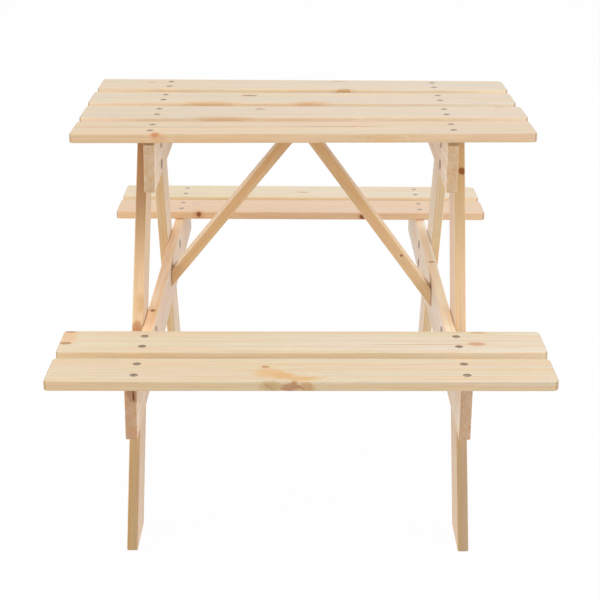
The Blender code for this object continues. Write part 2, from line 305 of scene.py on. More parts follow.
def pine(name, seed, place, base, narrow_tone_and_shade, pith, spacing, contrast=0.5, sway=5.0, pink=0.4, straw=0.4,
         peach=0.3, end=END_GRAIN, spots=(), streaks=()):
    """Pine cut from a log: growth rings round a pith line that runs along the plank.

    pith is the line's place across and through the plank, so a pith beside the plank gives
    straight grain and one under its middle gives long arches. spacing is a year's growth, contrast
    how dark its ring is and sway how far the grain wanders. pink, straw and peach are the strengths
    of bands in those colours. base holds colours at places along the plank. The argument after it
    and end are how much of them is left on the narrow faces, again at places along the plank, and
    on the end grain. The narrow faces' shares are partly the wood's tone and partly painted light
    and shade.
    """
    g = Graph(bpy.data.materials.new(name))
    turn = place.to_3x3().transposed()
    here = g.add("ShaderNodeTexCoord").outputs["Object"]
    x, y, z = (g.vector("DOT_PRODUCT", here, tuple(row * MILLIMETRES)) for row in turn)
    point = g.join(x, y, z)

    def field(word):
        along, across, shift, detail, roughness = FIELDS[word]
        return g.noise(point, (along, across, across), seed + shift, detail, roughness)

    ripple, fibre, dash, speckle = (field(word) for word in ("ripple", "fibre", "dash", "speckle"))
    across = g.plus(g.scaled(field("swing"), 2 * sway, -sway - pith[0]), y)
    through = g.plus(g.scaled(field("lift"), 2 * sway, -sway - pith[1]), z)
    radius = g.vector("LENGTH", g.join(across, through, 0.0))
    radius = g.plus(radius, off_centre(g, ripple, 2.4))

    inverse = place.inverted()
    ragged = field("ragged") if spots else None
    distances = []
    for item in spots:
        gap = g.vector("SUBTRACT", point, tuple(inverse @ Vector(item["at"]) * MILLIMETRES))
        gap = g.vector("MULTIPLY", gap, tuple(1.0 / size for size in item["size"]))
        distance = g.plus(g.vector("LENGTH", gap), off_centre(g, ragged, item["wild"]))
        distances.append(distance)
        radius = g.plus(radius, g.scaled(g.step(distance, KNOT_REACH, 0.2), item["push"]))
    latewood = ring_pattern(g, radius, spacing, seed)

    colour = g.ramp(x, base)
    for word, share, tint in (("pink", pink, PINK), ("straw", straw, STRAW), ("peach", peach, PEACH)):
        colour = g.mix(g.times(g.step(field(word), 0.46, 0.60), share + 0.08), colour, tint)
    colour = g.mix(g.times(latewood, contrast), colour, g.mix(1.0, colour, LATEWOOD, "MULTIPLY"))
    line, dash = g.step(field("line"), 0.60, 0.72), g.step(dash, 0.66, 0.74)
    tone = g.plus(g.scaled(dash, -0.12, 1.0), g.scaled(line, -0.10))
    tone = g.times(g.scaled(fibre, 0.26, 0.87), tone)
    colour = g.mix(1.0, colour, g.join(tone, tone, tone), "MULTIPLY")

    normal = g.add("ShaderNodeVectorTransform", g.add("ShaderNodeNewGeometry").outputs["Normal"],
                   vector_type="NORMAL", convert_from="WORLD", convert_to="OBJECT").outputs[0]
    along, aside = (g.vector("DOT_PRODUCT", normal, tuple(row)) for row in turn[:2])
    narrow = g.step(g.math("ABSOLUTE", aside), 0.45, 0.95)
    ends = g.step(g.math("ABSOLUTE", along), 0.22, 0.65)
    # The narrow faces take their shares along the plank: the wood's tone with painted light and shade.
    colour = g.mix(narrow, colour, g.mix(1.0, colour, g.ramp(x, narrow_tone_and_shade), "MULTIPLY"))
    tone = g.times(g.scaled(speckle, 0.9, 0.56), g.scaled(latewood, -0.16, 1.02))
    end_colour = g.mix(1.0, g.mix(1.0, colour, end, "MULTIPLY"), g.join(tone, tone, tone), "MULTIPLY")
    colour = g.mix(ends, colour, end_colour)

    knots = None
    for item, distance in zip(spots, distances):
        colour = stained(g, colour, item, distance, narrow, fibre)
        if item["tone"]:
            colour, mask = knotted(g, colour, item, distance)
            knots = mask if knots is None else g.math("MAXIMUM", knots, mask)
    for item in streaks:
        colour = streaked(g, colour, item, x, y, z, ripple)

    rough = g.plus(g.scaled(fibre, 0.22, 0.52), g.scaled(latewood, -0.08))
    if knots is not None:
        rough = g.plus(rough, g.scaled(knots, -0.14))
    g.fill(g.shader, {"Base Color": colour, "Roughness": rough, "Specular IOR Level": 0.28})
    height = g.plus(g.scaled(latewood, 0.55), g.plus(g.scaled(fibre, 0.9), g.scaled(dash, -0.7)))
    g.bump(g.plus(height, g.times(ends, g.scaled(speckle, 1.6))), 0.35, 0.0003)
    return g.owner


# Mesh helpers

def bevelled_prism(outline, depth, radius, segments, along_z=True):
    """Extrude an outline, round its edges and cut it into short lengths along X.

    The outline lies in local X and Y and is extruded along Z, or in X and Z and along Y.
    """
    bm = bmesh.new()
    if along_z:
        near = [bm.verts.new((a, b, -depth / 2)) for a, b in outline]
        shift = (0, 0, depth)
    else:
        near = [bm.verts.new((a, depth / 2, b)) for a, b in outline]
        shift = (0, -depth, 0)
    face = bm.faces.new(near)
    made = bmesh.ops.extrude_face_region(bm, geom=[face])
    far = [v for v in made["geom"] if isinstance(v, bmesh.types.BMVert)]
    bmesh.ops.translate(bm, vec=shift, verts=far)
    bmesh.ops.recalc_face_normals(bm, faces=bm.faces)
    sharp = [e for e in bm.edges if e.calc_face_angle(0) > math.radians(25)]
    bmesh.ops.bevel(bm, geom=sharp, offset=radius, offset_type="OFFSET", segments=segments,
                    profile=0.5, affect="EDGES", clamp_overlap=True)
    low, high = min(v.co.x for v in bm.verts), max(v.co.x for v in bm.verts)
    for number in range(1, CUTS):
        at = low + (high - low) * number / CUTS
        geometry = list(bm.verts) + list(bm.edges) + list(bm.faces)
        bmesh.ops.bisect_plane(bm, geom=geometry, plane_co=(at, 0, 0), plane_no=(1, 0, 0))
    return bm


def corner_outline(length, width, radii):
    """A rectangle with a radius for each corner: right rear, left rear, left front, right front."""
    points = []
    places = ((1, 1, 0), (-1, 1, 90), (-1, -1, 180), (1, -1, 270))
    for (side_u, side_v, start), radius in zip(places, radii):
        middle = (side_u * (length / 2 - radius), side_v * (width / 2 - radius))
        for step in range(CORNER_STEPS + 1):
            angle = math.radians(start + 90 * step / CORNER_STEPS)
            points.append((middle[0] + radius * math.cos(angle), middle[1] + radius * math.sin(angle)))
    return points


def spin(bm, profile, place=Matrix(), sides=32):
    """A turned solid from (radius, height) pairs, pole to pole."""
    rings = []
    for radius, height in profile:
        count = sides if radius else 1
        angles = [2 * math.pi * k / count for k in range(count)]
        rings.append([bm.verts.new(place @ Vector((radius * math.cos(a), radius * math.sin(a), height)))
                      for a in angles])
    for upper, lower in zip(rings, rings[1:]):
        for k in range(sides):
            n = (k + 1) % sides
            if len(upper) == 1:
                bm.faces.new((upper[0], lower[k], lower[n]))
            elif len(lower) == 1:
                bm.faces.new((upper[k], lower[0], upper[n]))
            else:
                bm.faces.new((upper[k], lower[k], lower[n], upper[n]))


def add_object(name, data):
    obj = bpy.data.objects.new(name, data)
    bpy.context.scene.collection.objects.link(obj)
    return obj


def link(name, bm, material=None):
    """Turn a mesh in the making into an object of the scene."""
    bmesh.ops.recalc_face_normals(bm, faces=bm.faces)
    mesh = bpy.data.meshes.new(name)
    bm.to_mesh(mesh)
    bm.free()
    if material:
        mesh.materials.append(material)
    return add_object(name, mesh)


def even_normals(obj):
    """Keep large flat faces flat where they meet rounded edges."""
    even = obj.modifiers.new("even_normals", "WEIGHTED_NORMAL")
    even.keep_sharp = True
    even.weight = 100


def finish_mesh(obj, cutter=None, angle=35):
    """Cut with the cutter, then shade smooth with flat faces kept flat. angle is in degrees."""
    if cutter:
        cut = obj.modifiers.new("cut", "BOOLEAN")
        cut.operation, cut.solver, cut.object = "DIFFERENCE", "EXACT", cutter
        cut.material_mode = "TRANSFER" if cutter.data.materials else "INDEX"
    obj.data.shade_smooth()
    obj.data.set_sharp_from_angle(angle=math.radians(angle))
    if cutter:
        bpy.context.view_layer.update()
        graph = bpy.context.evaluated_depsgraph_get()
        mesh = bpy.data.meshes.new_from_object(obj.evaluated_get(graph))
        obj.modifiers.clear()
        obj.data = mesh
        obj.data.shade_smooth()
        obj.data.set_sharp_from_angle(angle=math.radians(angle))
        bpy.data.objects.remove(cutter)
    even_normals(obj)


# Screws

def steel(name, tone, seed):
    """Worn steel: cloudy in tone and gloss, with a fine grain."""
    g = Graph(bpy.data.materials.new(name))
    point = g.point()
    cloud = g.noise(point, (0.9, 0.9, 0.9), seed, 3.0, 0.6)
    colour = g.mix(g.step(cloud, 0.35, 0.70), tone, tuple(v * 0.70 for v in tone))
    rough = g.scaled(cloud, 0.30, 0.26)
    g.fill(g.shader, {"Base Color": colour, "Metallic": 0.85, "Roughness": rough})
    g.bump(g.noise(point, (6.0, 6.0, 6.0), seed + 2, 2.0), 0.25, 0.00005)
    return g.owner


def cross_cutter(arm, width, depth, top):
    """A tapered cross, the shape of a cross-head driver's tip, from height top down to a depth."""
    bm = bmesh.new()
    loops = []
    for height, share in ((top, 1.0), (-depth, 0.34)):
        a, w = arm * share, width * (0.45 + 0.55 * share)
        ring = [(w, w), (w, a), (-w, a), (-w, w), (-a, w), (-a, -w), (-w, -w), (-w, -a),
                (w, -a), (w, -w), (a, -w), (a, w)]
        loops.append([bm.verts.new((px, py, height)) for px, py in ring])
    bm.faces.new(loops[0])
    bm.faces.new(list(reversed(loops[1])))
    corners = len(loops[0])
    for k in range(corners):
        n = (k + 1) % corners
        bm.faces.new((loops[0][k], loops[0][n], loops[1][n], loops[1][k]))
    return link("cross_cutter", bm)


def countersunk_head(name, material, length, shank=0.0018):
    """Flat countersunk head with a worn rim, 8.4 mm across, on a plain shank."""
    bm = bmesh.new()
    spin(bm, [(0, -0.00005), (0.0028, -0.00002), (0.00395, 0), (0.00417, -0.0001),
              (0.0042, -0.00025), (shank, -0.0024), (shank, SCREW_POINT - length), (0, -length)])
    obj = link(name, bm, material)
    finish_mesh(obj, cross_cutter(arm=0.0025, width=0.00062, depth=0.0018, top=0.0004), 30)
    return obj


def joint_head(name, material, length, shank=0.0024):
    """Low flat head with a rounded rim, 13.6 mm across, on a plain shank."""
    bm = bmesh.new()
    spin(bm, [(0, 0.0015), (0.0045, 0.00148), (0.0058, 0.0014), (0.0064, 0.0012),
              (0.0067, 0.0009), (0.0068, 0.0006), (0.0068, 0.0003), (shank, 0.0003),
              (shank, SCREW_POINT - length), (0, -length)])
    obj = link(name, bm, material)
    finish_mesh(obj, cross_cutter(arm=0.0030, width=0.0006, depth=0.0006, top=0.0020), 30)
    return obj


def driven(direction, head, turn=0.0):
    """The place of a screw that is driven in a direction, with its recess at a turn of its own."""
    aim = Vector((0, 0, -1)).rotation_difference(Vector(direction)).to_matrix().to_4x4()
    return Matrix.Translation(head) @ aim @ Matrix.Rotation(turn, 4, "Z")


def put_screw(master, name, place, node=None):
    """A copy of a master screw in its place. It stands for a solid's node if one is named."""
    screw = add_object(name, master.data)
    even_normals(screw)
    screw.matrix_world = place
    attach(screw, ROOT)
    if node:
        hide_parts(node)


zinc = steel("zinc_screw_steel", linear(196, 186, 176), 1.0)
dark_zinc = steel("zinc_joint_steel", linear(190, 168, 150), 4.0)
board_master = countersunk_head("board_screw_master", zinc, BOARD_SCREW)
short_master = countersunk_head("short_screw_master", zinc, SHORT_SCREW)
joint_master = joint_head("joint_screw_master", dark_zinc, JOINT_SCREW)


def clamp(value):
    """A share, kept between 0 and 1."""
    return max(0.0, min(1.0, value))


def twist(point):
    """The table is put together a little out of true: its front rises to the right, its rear falls."""
    seat, table = (rise - fall * point.y for rise, fall in (SEAT_TWIST, TOP_TWIST))
    up = clamp((point.z - SEAT_TOP) / (TABLE_TOP - SEAT_TOP))
    rise = (seat + (table - seat) * up) * clamp(point.z / SEAT_TOP)
    return Vector((0, 0, rise * point.x / (BOARD_LENGTH / 2)))


def rack(point):
    """The frames also lean to the left below the table, most of all at the front."""
    forward = clamp((HALF_DEPTH - point.y) / (2 * HALF_DEPTH))
    low = clamp((LEAN_START - point.z) / LEAN_DROP)
    lean = LEAN * low * (REAR_LEAN + (1 - REAR_LEAN) * forward)
    return twist(point) - Vector((lean, 0, 0))


# The boards' screws. Where their heads are is kept for the holes.
board_places = {}
for word, rows, top in (("table", TABLE_ROWS, TABLE_TOP), ("front_bench", FRONT_ROWS, SEAT_TOP),
                        ("rear_bench", REAR_ROWS, SEAT_TOP)):
    number = 0
    for side in (-1, 1):
        for row, middle in enumerate(rows):
            for offset in (-SCREW_SPACING / 2, SCREW_SPACING / 2):
                number += 1
                half, shift, sink, _ = SCREW_LINES[word]
                head = Vector((side * half + shift, middle + offset, top - sink))
                head += twist(head)
                turn = 0.9 * number + (0.4 if side > 0 else 0.0)
                place = driven((0, 0, -1), head, turn)
                node = "%s_screw_%d" % (word, number)
                put_screw(board_master, "steel_" + node, place, node)
                board_places.setdefault((word, row), []).append(head)


def leg_middle(height):
    """How far a leg's middle line is from mid-depth at a height."""
    return LEG_TOP_Y + LEG_SLOPE * (LEG_TOP - height)


# Both screws of a joint stand one above the other. One of them is a solid's, the other is added.
for word, side in SIDES:
    for level, heights in JOINT_LEVELS.items():
        for end_word, end in ENDS:
            node = "%s_%s_%s_joint_screw" % (word, level, end_word)
            solid_z = sum(corner.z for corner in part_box(node)) / 2
            modelled = min(heights, key=lambda height: abs(height - solid_z))
            for height in heights:
                head = Vector((side * RAIL_INNER_X, end * leg_middle(modelled), height))
                head += rack(head)
                place = driven((side, 0, 0), head, 170 * height + side)
                if height == modelled:
                    put_screw(joint_master, "steel_" + node, place, node)
                else:
                    put_screw(joint_master, "steel_%s_second" % node, place)


# Planks

def shaded_bored_pine():
    """The rough wood inside the screw holes. Its dark brown is partly the wood's own colour and partly
    painted shade in the countersinks.
    """
    g = Graph(bpy.data.materials.new("shaded_bored_pine"))
    cloud = g.noise(g.point(), (0.8, 0.8, 0.8), 3.0, 3.0, 0.6)
    colour = g.mix(cloud, linear(136, 108, 82), linear(184, 150, 114))
    g.fill(g.shader, {"Base Color": colour, "Roughness": 0.8, "Specular IOR Level": 0.2})
    return g.owner


# Wood for the holes, darkened with painted shade.
SHADED_BORE = shaded_bored_pine()


def countersinks(places, direction=(0, 0, -1), mouth=0.0050):
    """A cutter for countersunk holes a little wider than the heads."""
    bm = bmesh.new()
    for head in places:
        spin(bm, [(0, 0.002), (mouth, 0.002), (mouth, CONE_TOP), (BORE, CONE_BOTTOM),
                  (BORE, -BORE_DEPTH), (0, -BORE_DEPTH)], driven(direction, head), 24)
    return link("countersinks", bm, SHADED_BORE)


def add_plank(node, bm, place, looks, cutter=None, flex=rack):
    """Turn a plank's mesh into the part's axes, put it in its place and let it stand for its node.

    place is where the plank's own axes are in the part, and flex moves it out of true.
    """
    name = "pine_" + node
    turn = place.to_3x3()
    for vertex in bm.verts:
        point = turn @ vertex.co
        vertex.co = point + flex(point + place.translation)
    plank = link(name, bm, pine(name, place=place, **tinted(node), **looks))
    plank.location = place.translation
    finish_mesh(plank, cutter)
    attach(plank, ROOT)
    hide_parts(node)


def axes(origin, along, across):
    """A place whose local X and Y run along and across a plank."""
    along, across = Vector(along).normalized(), Vector(across).normalized()
    turn = Matrix((along, across, along.cross(across))).transposed().to_4x4()
    return Matrix.Translation(origin) @ turn


# Short names for the boards' places: table and benches from the front, their tops and half widths.
T1, T2, T3, T4 = TABLE_ROWS
B1, B2 = FRONT_ROWS
R1, R2 = REAR_ROWS
TT, ST, HALF = TABLE_TOP, SEAT_TOP, BOARD_WIDTH / 2

# The kinds of pine in the table, as colours on screen.
HONEY_PINE, PALE_PINE, STRAW_PINE = (226, 206, 180), (223, 210, 192), (232, 217, 190)
LIGHT_PINE, ROSY_PINE = (236, 226, 204), (236, 209, 185)
PALE_TIMBER, ROSY_TIMBER = (243, 231, 218), (243, 225, 209)
TAN_TIMBER, WARM_TIMBER, GOLD_TIMBER = (231, 209, 192), (243, 220, 194), (236, 206, 166)
# What is left of a plank's colour on its narrow faces: partly the wood's own tone and partly
# painted light and shade. The one above 1 in every channel is painted light on narrow faces that
# lie in shade, as in the gaps between the table boards.
DULL, PAINTED_LIGHT_NARROW, PLAIN = (0.86, 0.83, 0.78), (1.15, 1.12, 1.05), (1.10, 1.00, 0.84)
SANDY = (0.90, 0.79, 0.64)
WARM, TAN, BROWN = (1.00, 0.88, 0.75), (0.94, 0.85, 0.72), (0.87, 0.76, 0.58)
# The most light that any plank gives back.
PALEST = 0.95
# Each plank's kind of pine and of narrow face.
PLANKS = {
    "table_board_1": (HONEY_PINE, TAN), "table_board_2": (PALE_PINE, PAINTED_LIGHT_NARROW),
    "table_board_3": (PALE_PINE, PAINTED_LIGHT_NARROW), "table_board_4": (PALE_PINE, PAINTED_LIGHT_NARROW),
    "front_bench_board_1": (STRAW_PINE, DULL), "front_bench_board_2": (LIGHT_PINE, WARM),
    "rear_bench_board_1": (ROSY_PINE, TAN), "rear_bench_board_2": (LIGHT_PINE, PLAIN),
    "left_top_rail": (PALE_TIMBER, TAN), "right_top_rail": (PALE_TIMBER, TAN),
    "left_seat_rail": (ROSY_TIMBER, PLAIN), "right_seat_rail": (PALE_TIMBER, PAINTED_LIGHT_NARROW),
    "left_front_leg": (TAN_TIMBER, BROWN), "right_front_leg": (TAN_TIMBER, BROWN),
    "left_rear_leg": (PALE_TIMBER, BROWN), "right_rear_leg": (PALE_TIMBER, BROWN),
    "left_brace": (WARM_TIMBER, BROWN), "right_brace": (WARM_TIMBER, BROWN),
    "centre_batten": (GOLD_TIMBER, SANDY),
}
# Boards are a little yellower towards their left ends and paler towards their right ends.
BOARD_DRIFT = ((-230.0, (0.99, 0.97, 0.93)), (230.0, (1.01, 1.02, 1.05)))
# Painted light and shade along some narrow faces, as shares of their tint there: the front legs'
# front faces are darker and browner at the foot, in the front bench's shade, and just under the
# table, in its shade, and lighter between; the top edges of the seat rails are lighter in front and
# darker further back, where the table shades them.
NARROW_LIGHT_AND_SHADE = {
    "left_front_leg": ((-210.0, (0.76, 0.72, 0.64)), (20.0, (1.25, 1.28, 1.24)),
                       (190.0, (0.64, 0.52, 0.40))),
    "right_front_leg": ((-210.0, (0.74, 0.76, 0.76)), (20.0, (1.18, 1.20, 1.18)),
                        (190.0, (0.92, 0.94, 0.82))),
    "left_seat_rail": ((-240.0, (1.14, 1.14, 1.14)), (180.0, (0.94, 0.94, 0.94))),
    "right_seat_rail": ((-240.0, (1.10, 1.10, 1.10)), (180.0, (0.92, 0.92, 0.92))),
}


def tinted(node):
    """A plank's colours and its narrow faces', as places along it with what belongs there. The narrow
    faces' shares hold painted light and shade as well as the wood's tone.
    """
    kind, narrow = PLANKS[node]
    tint = linear(*kind)
    drift = BOARD_DRIFT if "_board_" in node else ((0.0, WHITE),)
    # Painted light and shade along the narrow faces, where a piece has any.
    painted_light_and_shade = NARROW_LIGHT_AND_SHADE.get(node, ((0.0, WHITE),))
    base = [(x, tuple(min(PALEST, a * b) for a, b in zip(tint, share))) for x, share in drift]
    narrow_tone_and_shade = [(x, tuple(a * b for a, b in zip(narrow, share))) for x, share in painted_light_and_shade]
    return dict(base=base, narrow_tone_and_shade=narrow_tone_and_shade)


# Node, middle across, top, plan corner radii (right rear, left rear, left front, right front), looks.
BOARDS = [
    # A red knot by the left screws, pith at the surface with a branch's trace, an arch in front.
    ("table_board_1", T1, TT, (0.006, 0.005, 0.005, 0.006), dict(
        seed=1, pith=(3, -2), spacing=4.6, contrast=0.3, sway=3, pink=0.35, straw=0.25,
        peach=0.35,
        spots=[
            spot((-0.187, -0.1865, TT), (4.4, 4, 5), tone=(212, 124, 66), halo=(240, 178, 122),
                 strength=0.85, glow=0.65, reach=2.6, soft=0.6, wild=1.4, heart=0.4),
            spot((0.079, T1 + 0.015, TT), (8, 9, 9), halo=(240, 204, 178), glow=0.6, push=11),
            spot((-0.183, T1 - HALF, TT - 0.006), (8, 5, 5), halo=(230, 176, 136), glow=0.35,
                 reach=1.7),
            spot((0.107, T1 - HALF, TT - 0.011), (17, 9, 6), halo=(236, 196, 140), glow=0.5,
                 reach=1.7, push=13),
        ],
        streaks=[
            streak(-290, 0, y=3.5, slope=0.004, width=1.8, tone=(200, 150, 98), strength=0.85),
            streak(0, 100, y=3.5, slope=0.004, width=1.8, tone=(180, 122, 80), strength=0.95),
            streak(66, 76, y=-78, slope=1.25, width=3, tone=(214, 146, 110), strength=0.8),
        ])),
    # A pinkish knot left of the middle.
    ("table_board_2", T2, TT, (0.007, 0.005, 0.005, 0.006), dict(
        seed=2, pith=(52, -30), spacing=3.4, contrast=0.36, pink=0.45, straw=0.3, peach=0.2,
        spots=[
            spot((-0.057, T2 + 0.0178, TT), (6.5, 4.2, 8), tone=(206, 150, 118), halo=(240, 208, 184),
                 strength=0.85, glow=0.5),
            spot((0.275, T2 + 0.0345, TT), (6.5, 1.6, 5), tone=(176, 132, 92), strength=0.8),
            spot((-0.105, T2 - 0.036, TT), (26, 5, 7), halo=AMBER, glow=0.5, reach=1.9),
        ])),
    # A long tan knot left of the middle, and honey stains on the front edge.
    ("table_board_3", T3, TT, (0.008, 0.003, 0.005, 0.007), dict(
        seed=3, pith=(-50, -34), spacing=3.6, contrast=0.36, pink=0.3, straw=0.4, peach=0.3,
        spots=[
            spot((-0.074, T3 + 0.0135, TT), (10, 5.2, 8), tone=(186, 150, 112), strength=0.95,
                 glow=0.5),
            spot((0.012, T3 - 0.034, TT), (20, 5, 8), halo=AMBER, glow=0.55, reach=1.9, push=8),
            spot((-0.13, T3 - 0.036, TT), (26, 5, 8), halo=AMBER, glow=0.5, reach=1.9),
        ])),
    # Faint knots on top, and one on the front edge.
    ("table_board_4", T4, TT, (0.01, 0.003, 0.004, 0.006), dict(
        seed=4, pith=(46, -44), spacing=3.4, contrast=0.34, pink=0.3, straw=0.38, peach=0.25,
        spots=[
            spot((-0.2235, T4 + 0.011, TT), (5.5, 3.6, 8), tone=(226, 172, 144), halo=(240, 208, 186),
                 strength=0.7, glow=0.4),
            spot((0.056, T4 + 0.026, TT), (8.5, 2.6, 6), tone=(204, 168, 132), strength=0.75),
            spot((0.063, T4 - 0.037, TT - 0.004), (9, 4, 5), tone=(214, 168, 112), halo=AMBER,
                 strength=0.6, push=9),
        ])),
    # The swirl and the cluster of knots at the front edge.
    ("front_bench_board_1", B1, ST, (0.008, 0.006, 0.006, 0.008), dict(
        seed=5, pith=(-46, -40), spacing=3.8, contrast=0.42, pink=0.35, straw=0.4, peach=0.5,
        spots=[
            spot((-0.0415, B1 + 0.009, ST), (4.2, 3.2, 7), tone=(204, 150, 100), halo=(240, 198, 150),
                 strength=0.85, glow=0.5, reach=2.8),
            spot((-0.038, B1 - 0.01, ST), (13, 12, 9), halo=(232, 188, 132), glow=0.9, reach=1.7,
                 push=8, wild=1.4),
            spot((-0.02, B1 - 0.019, ST), (13, 9, 9), halo=(230, 180, 118), glow=0.9, reach=1.6,
                 push=10, wild=1.4),
            spot((0.003, B1 - 0.03, ST), (15, 7, 7), halo=(232, 186, 126), glow=0.85, reach=1.5,
                 push=8),
            spot((-0.0335, B1 - HALF, ST - 0.006), (11, 4, 5), tone=(200, 166, 116),
                 halo=(216, 182, 132), strength=0.7, glow=0.6, reach=1.8, push=8, soft=0.7, wild=2.2,
                 heart=0),
            spot((0.005, B1 - HALF, ST - 0.007), (10, 4, 5), tone=(204, 160, 116),
                 halo=(212, 170, 124), strength=0.75, glow=0.6, reach=1.6, push=6, soft=0.6, wild=2,
                 heart=0),
            spot((-0.0125, B1 - HALF, ST - 0.008), (9, 4, 5.4), tone=(188, 138, 104),
                 halo=(204, 158, 116), strength=0.85, glow=0.5, reach=1.6, push=6, soft=0.5, wild=1.8,
                 heart=0),
            spot((-0.007, B1 - 0.0365, ST - 0.0018), (3.6, 3, 2.2), tone=(190, 132, 84),
                 halo=(228, 170, 116), strength=0.8, glow=0.5, reach=2.2, push=0, soft=0.6, wild=1.2,
                 heart=0.3),
        ],
        streaks=[
            streak(-27, -12, y=-41.9, slope=-1.4, width=2.8, tone=(224, 174, 114), fade=6),
            streak(-12, 24, y=-26, slope=0.02, width=2.4, tone=(226, 180, 122), fade=8),
            streak(-6, 4, y=-38.6, slope=-0.663, width=1, tone=(150, 100, 66), strength=0.8, rise=1,
                   fade=3),
            streak(-42, -32, y=-65.9, slope=-0.758, width=1, tone=(170, 124, 82), rise=1, fade=3),
        ])),
    # An orange end with two knots, and a red knot by the right screws.
    ("front_bench_board_2", B2, ST, (0.007, 0.005, 0.005, 0.006), dict(
        seed=6, pith=(50, -36), spacing=3.6, contrast=0.4, pink=0.3, straw=0.5, peach=0.35,
        spots=[
            spot((-0.29, B2 + 0.016, ST), (11, 19, 9), halo=(238, 192, 144), glow=0.75,
                 reach=1.4, wild=1.8),
            spot((-0.291, B2 + 0.0345, ST), (5.5, 4.4, 6), tone=(192, 152, 118), halo=(236, 184, 134),
                 strength=0.75, glow=0.5, soft=0.5),
            spot((-0.291, B2 - 0.007, ST), (6.6, 3.6, 7), tone=(200, 148, 98), halo=(238, 192, 142),
                 strength=0.95, glow=0.6, reach=2.6, soft=0.4),
            spot((0.218, B2 - 0.0084, ST), (8.5, 5, 7), tone=(224, 162, 122), halo=(238, 200, 164),
                 strength=0.8, glow=0.65, reach=2.8, soft=0.5),
            spot((0.2245, B2 + 0.0345, ST), (8, 5, 6), tone=(236, 192, 142), strength=0.85,
                 glow=0.5),
        ],
        streaks=[
            streak(90, 205, y=-11.5, slope=0.01, width=1.4, tone=(206, 156, 104)),
        ])),
    # Two dark knots in the front edge.
    ("rear_bench_board_1", R1, ST, (0.009, 0.003, 0.004, 0.007), dict(
        seed=7, pith=(48, -26), spacing=3.4, contrast=0.36, pink=0.5, straw=0.2, peach=0.35,
        spots=[
            spot((-0.166, R1 - HALF, ST - 0.0045), (3.7, 5, 3.7), tone=(158, 92, 54),
                 halo=(214, 150, 98), strength=1, glow=0.6, reach=4, soft=0.2),
            spot((-0.1736, R1 + 0.014, ST), (6, 9, 6), tone=(242, 200, 176), halo=(242, 208, 186),
                 strength=0.5, glow=0.5),
            spot((0.1005, R1 - HALF, ST - 0.0072), (4.4, 5, 3.4), tone=(150, 88, 52),
                 halo=(226, 162, 108), strength=1, glow=0.55, reach=2.8, soft=0.2),
        ])),
    # A pale knot in the middle.
    ("rear_bench_board_2", R2, ST, (0.01, 0.003, 0.004, 0.006), dict(
        seed=8, pith=(-44, -40), spacing=3.6, contrast=0.34, pink=0.35, straw=0.4, peach=0.25,
        spots=[
            spot((0.004, R2 - 0.005, ST), (8, 3.4, 7), tone=(214, 176, 142), strength=0.7),
        ])),
]

for node, middle, top, radii, looks in BOARDS:
    place = Matrix.Translation((0, middle, top - BOARD_THICKNESS / 2))
    word, row = node.rsplit("_board_", 1)
    row = int(row) - 1
    shift, extra = SHIFTS[word][row]
    outline = corner_outline(BOARD_LENGTH + extra, BOARD_WIDTH, radii)
    bm = bevelled_prism(outline, BOARD_THICKNESS, BOARD_EDGE, segments=5)
    bmesh.ops.translate(bm, vec=(shift, 0, 0), verts=bm.verts)
    holes = countersinks([head - place.translation for head in board_places[(word, row)]],
                         mouth=SCREW_LINES[word][3])
    holes.location = place.translation
    add_plank(node, bm, place, looks, holes, twist)


def rectangle(length, width):
    """An outline with square corners, to be extruded."""
    a, b = length / 2, width / 2
    return [(-a, -b), (a, -b), (a, b), (-a, b)]


RAIL_LOOKS = {
    "left_top_rail": dict(
        seed=11, pith=(4, -30), spacing=2.6, contrast=0.34, pink=0.5, straw=0.1,
        end=(0.70, 0.59, 0.45),
        spots=[
            # A painted shadow under the table board: a dark band across the top of the rail's front end.
            spot((-0.1965, -0.17875, 0.4872), (3, 2.4, 9), tone=(136, 104, 68), halo=AMBER,
                 strength=0.75, glow=0.2, reach=1.5, push=0, soft=0.5),
        ]),
    "right_top_rail": dict(
        seed=12, pith=(-8, -34), spacing=2.8, contrast=0.30, pink=0.4, straw=0.1,
        end=(0.75, 0.62, 0.46),
        spots=[
            # A painted shadow under the table board: a dark band across the top of the rail's front end.
            spot((0.1965, -0.17875, 0.4872), (3, 1.9, 9), tone=(146, 114, 78), halo=AMBER,
                 strength=0.65, glow=0.2, reach=1.5, push=0, soft=0.5),
        ]),
    "left_seat_rail": dict(
        seed=13, pith=(-44, -30), spacing=2.8, contrast=0.42, pink=0.7, straw=0.1,
        end=(0.64, 0.48, 0.35),
        spots=[
            spot((-0.1985, -0.1686, 0.2562), (4, 4, 2.6), tone=(172, 116, 68), halo=AMBER,
                 strength=0.95, glow=0.5),
            # A painted shadow under the front bench board, darkening the top of the rail's front end.
            # The thin dark mark after it is a crack.
            spot((-0.1945, -0.449, 0.2500), (9, 9.5, 7), tone=(172, 126, 88), halo=(196, 152, 110),
                 strength=0.7, glow=0.3, reach=1.4, push=2, soft=0.45),
            spot((-0.1950, -0.449, 0.2470), (3, 5.8, 1.1), tone=(120, 68, 34), halo=(150, 104, 66),
                 strength=1, glow=0.5, reach=2.2, push=0, soft=0.4),
            spot((-0.1895, -0.4465, 0.2400), (4, 3.4, 2.6), tone=(166, 116, 78), halo=AMBER,
                 strength=0.8, glow=0.3, reach=1.6, push=2, soft=0.5, wild=1.4, heart=0),
        ]),
    "right_seat_rail": dict(
        seed=14, pith=(6, -60), spacing=2.8, contrast=0.38, pink=0.35, straw=0.25,
        end=(0.66, 0.51, 0.39),
        spots=[
            spot((0.1945, 0.0547, 0.2562), (2.6, 4, 4.4), tone=(168, 126, 86), halo=AMBER,
                 strength=0.95),
        ]),
}
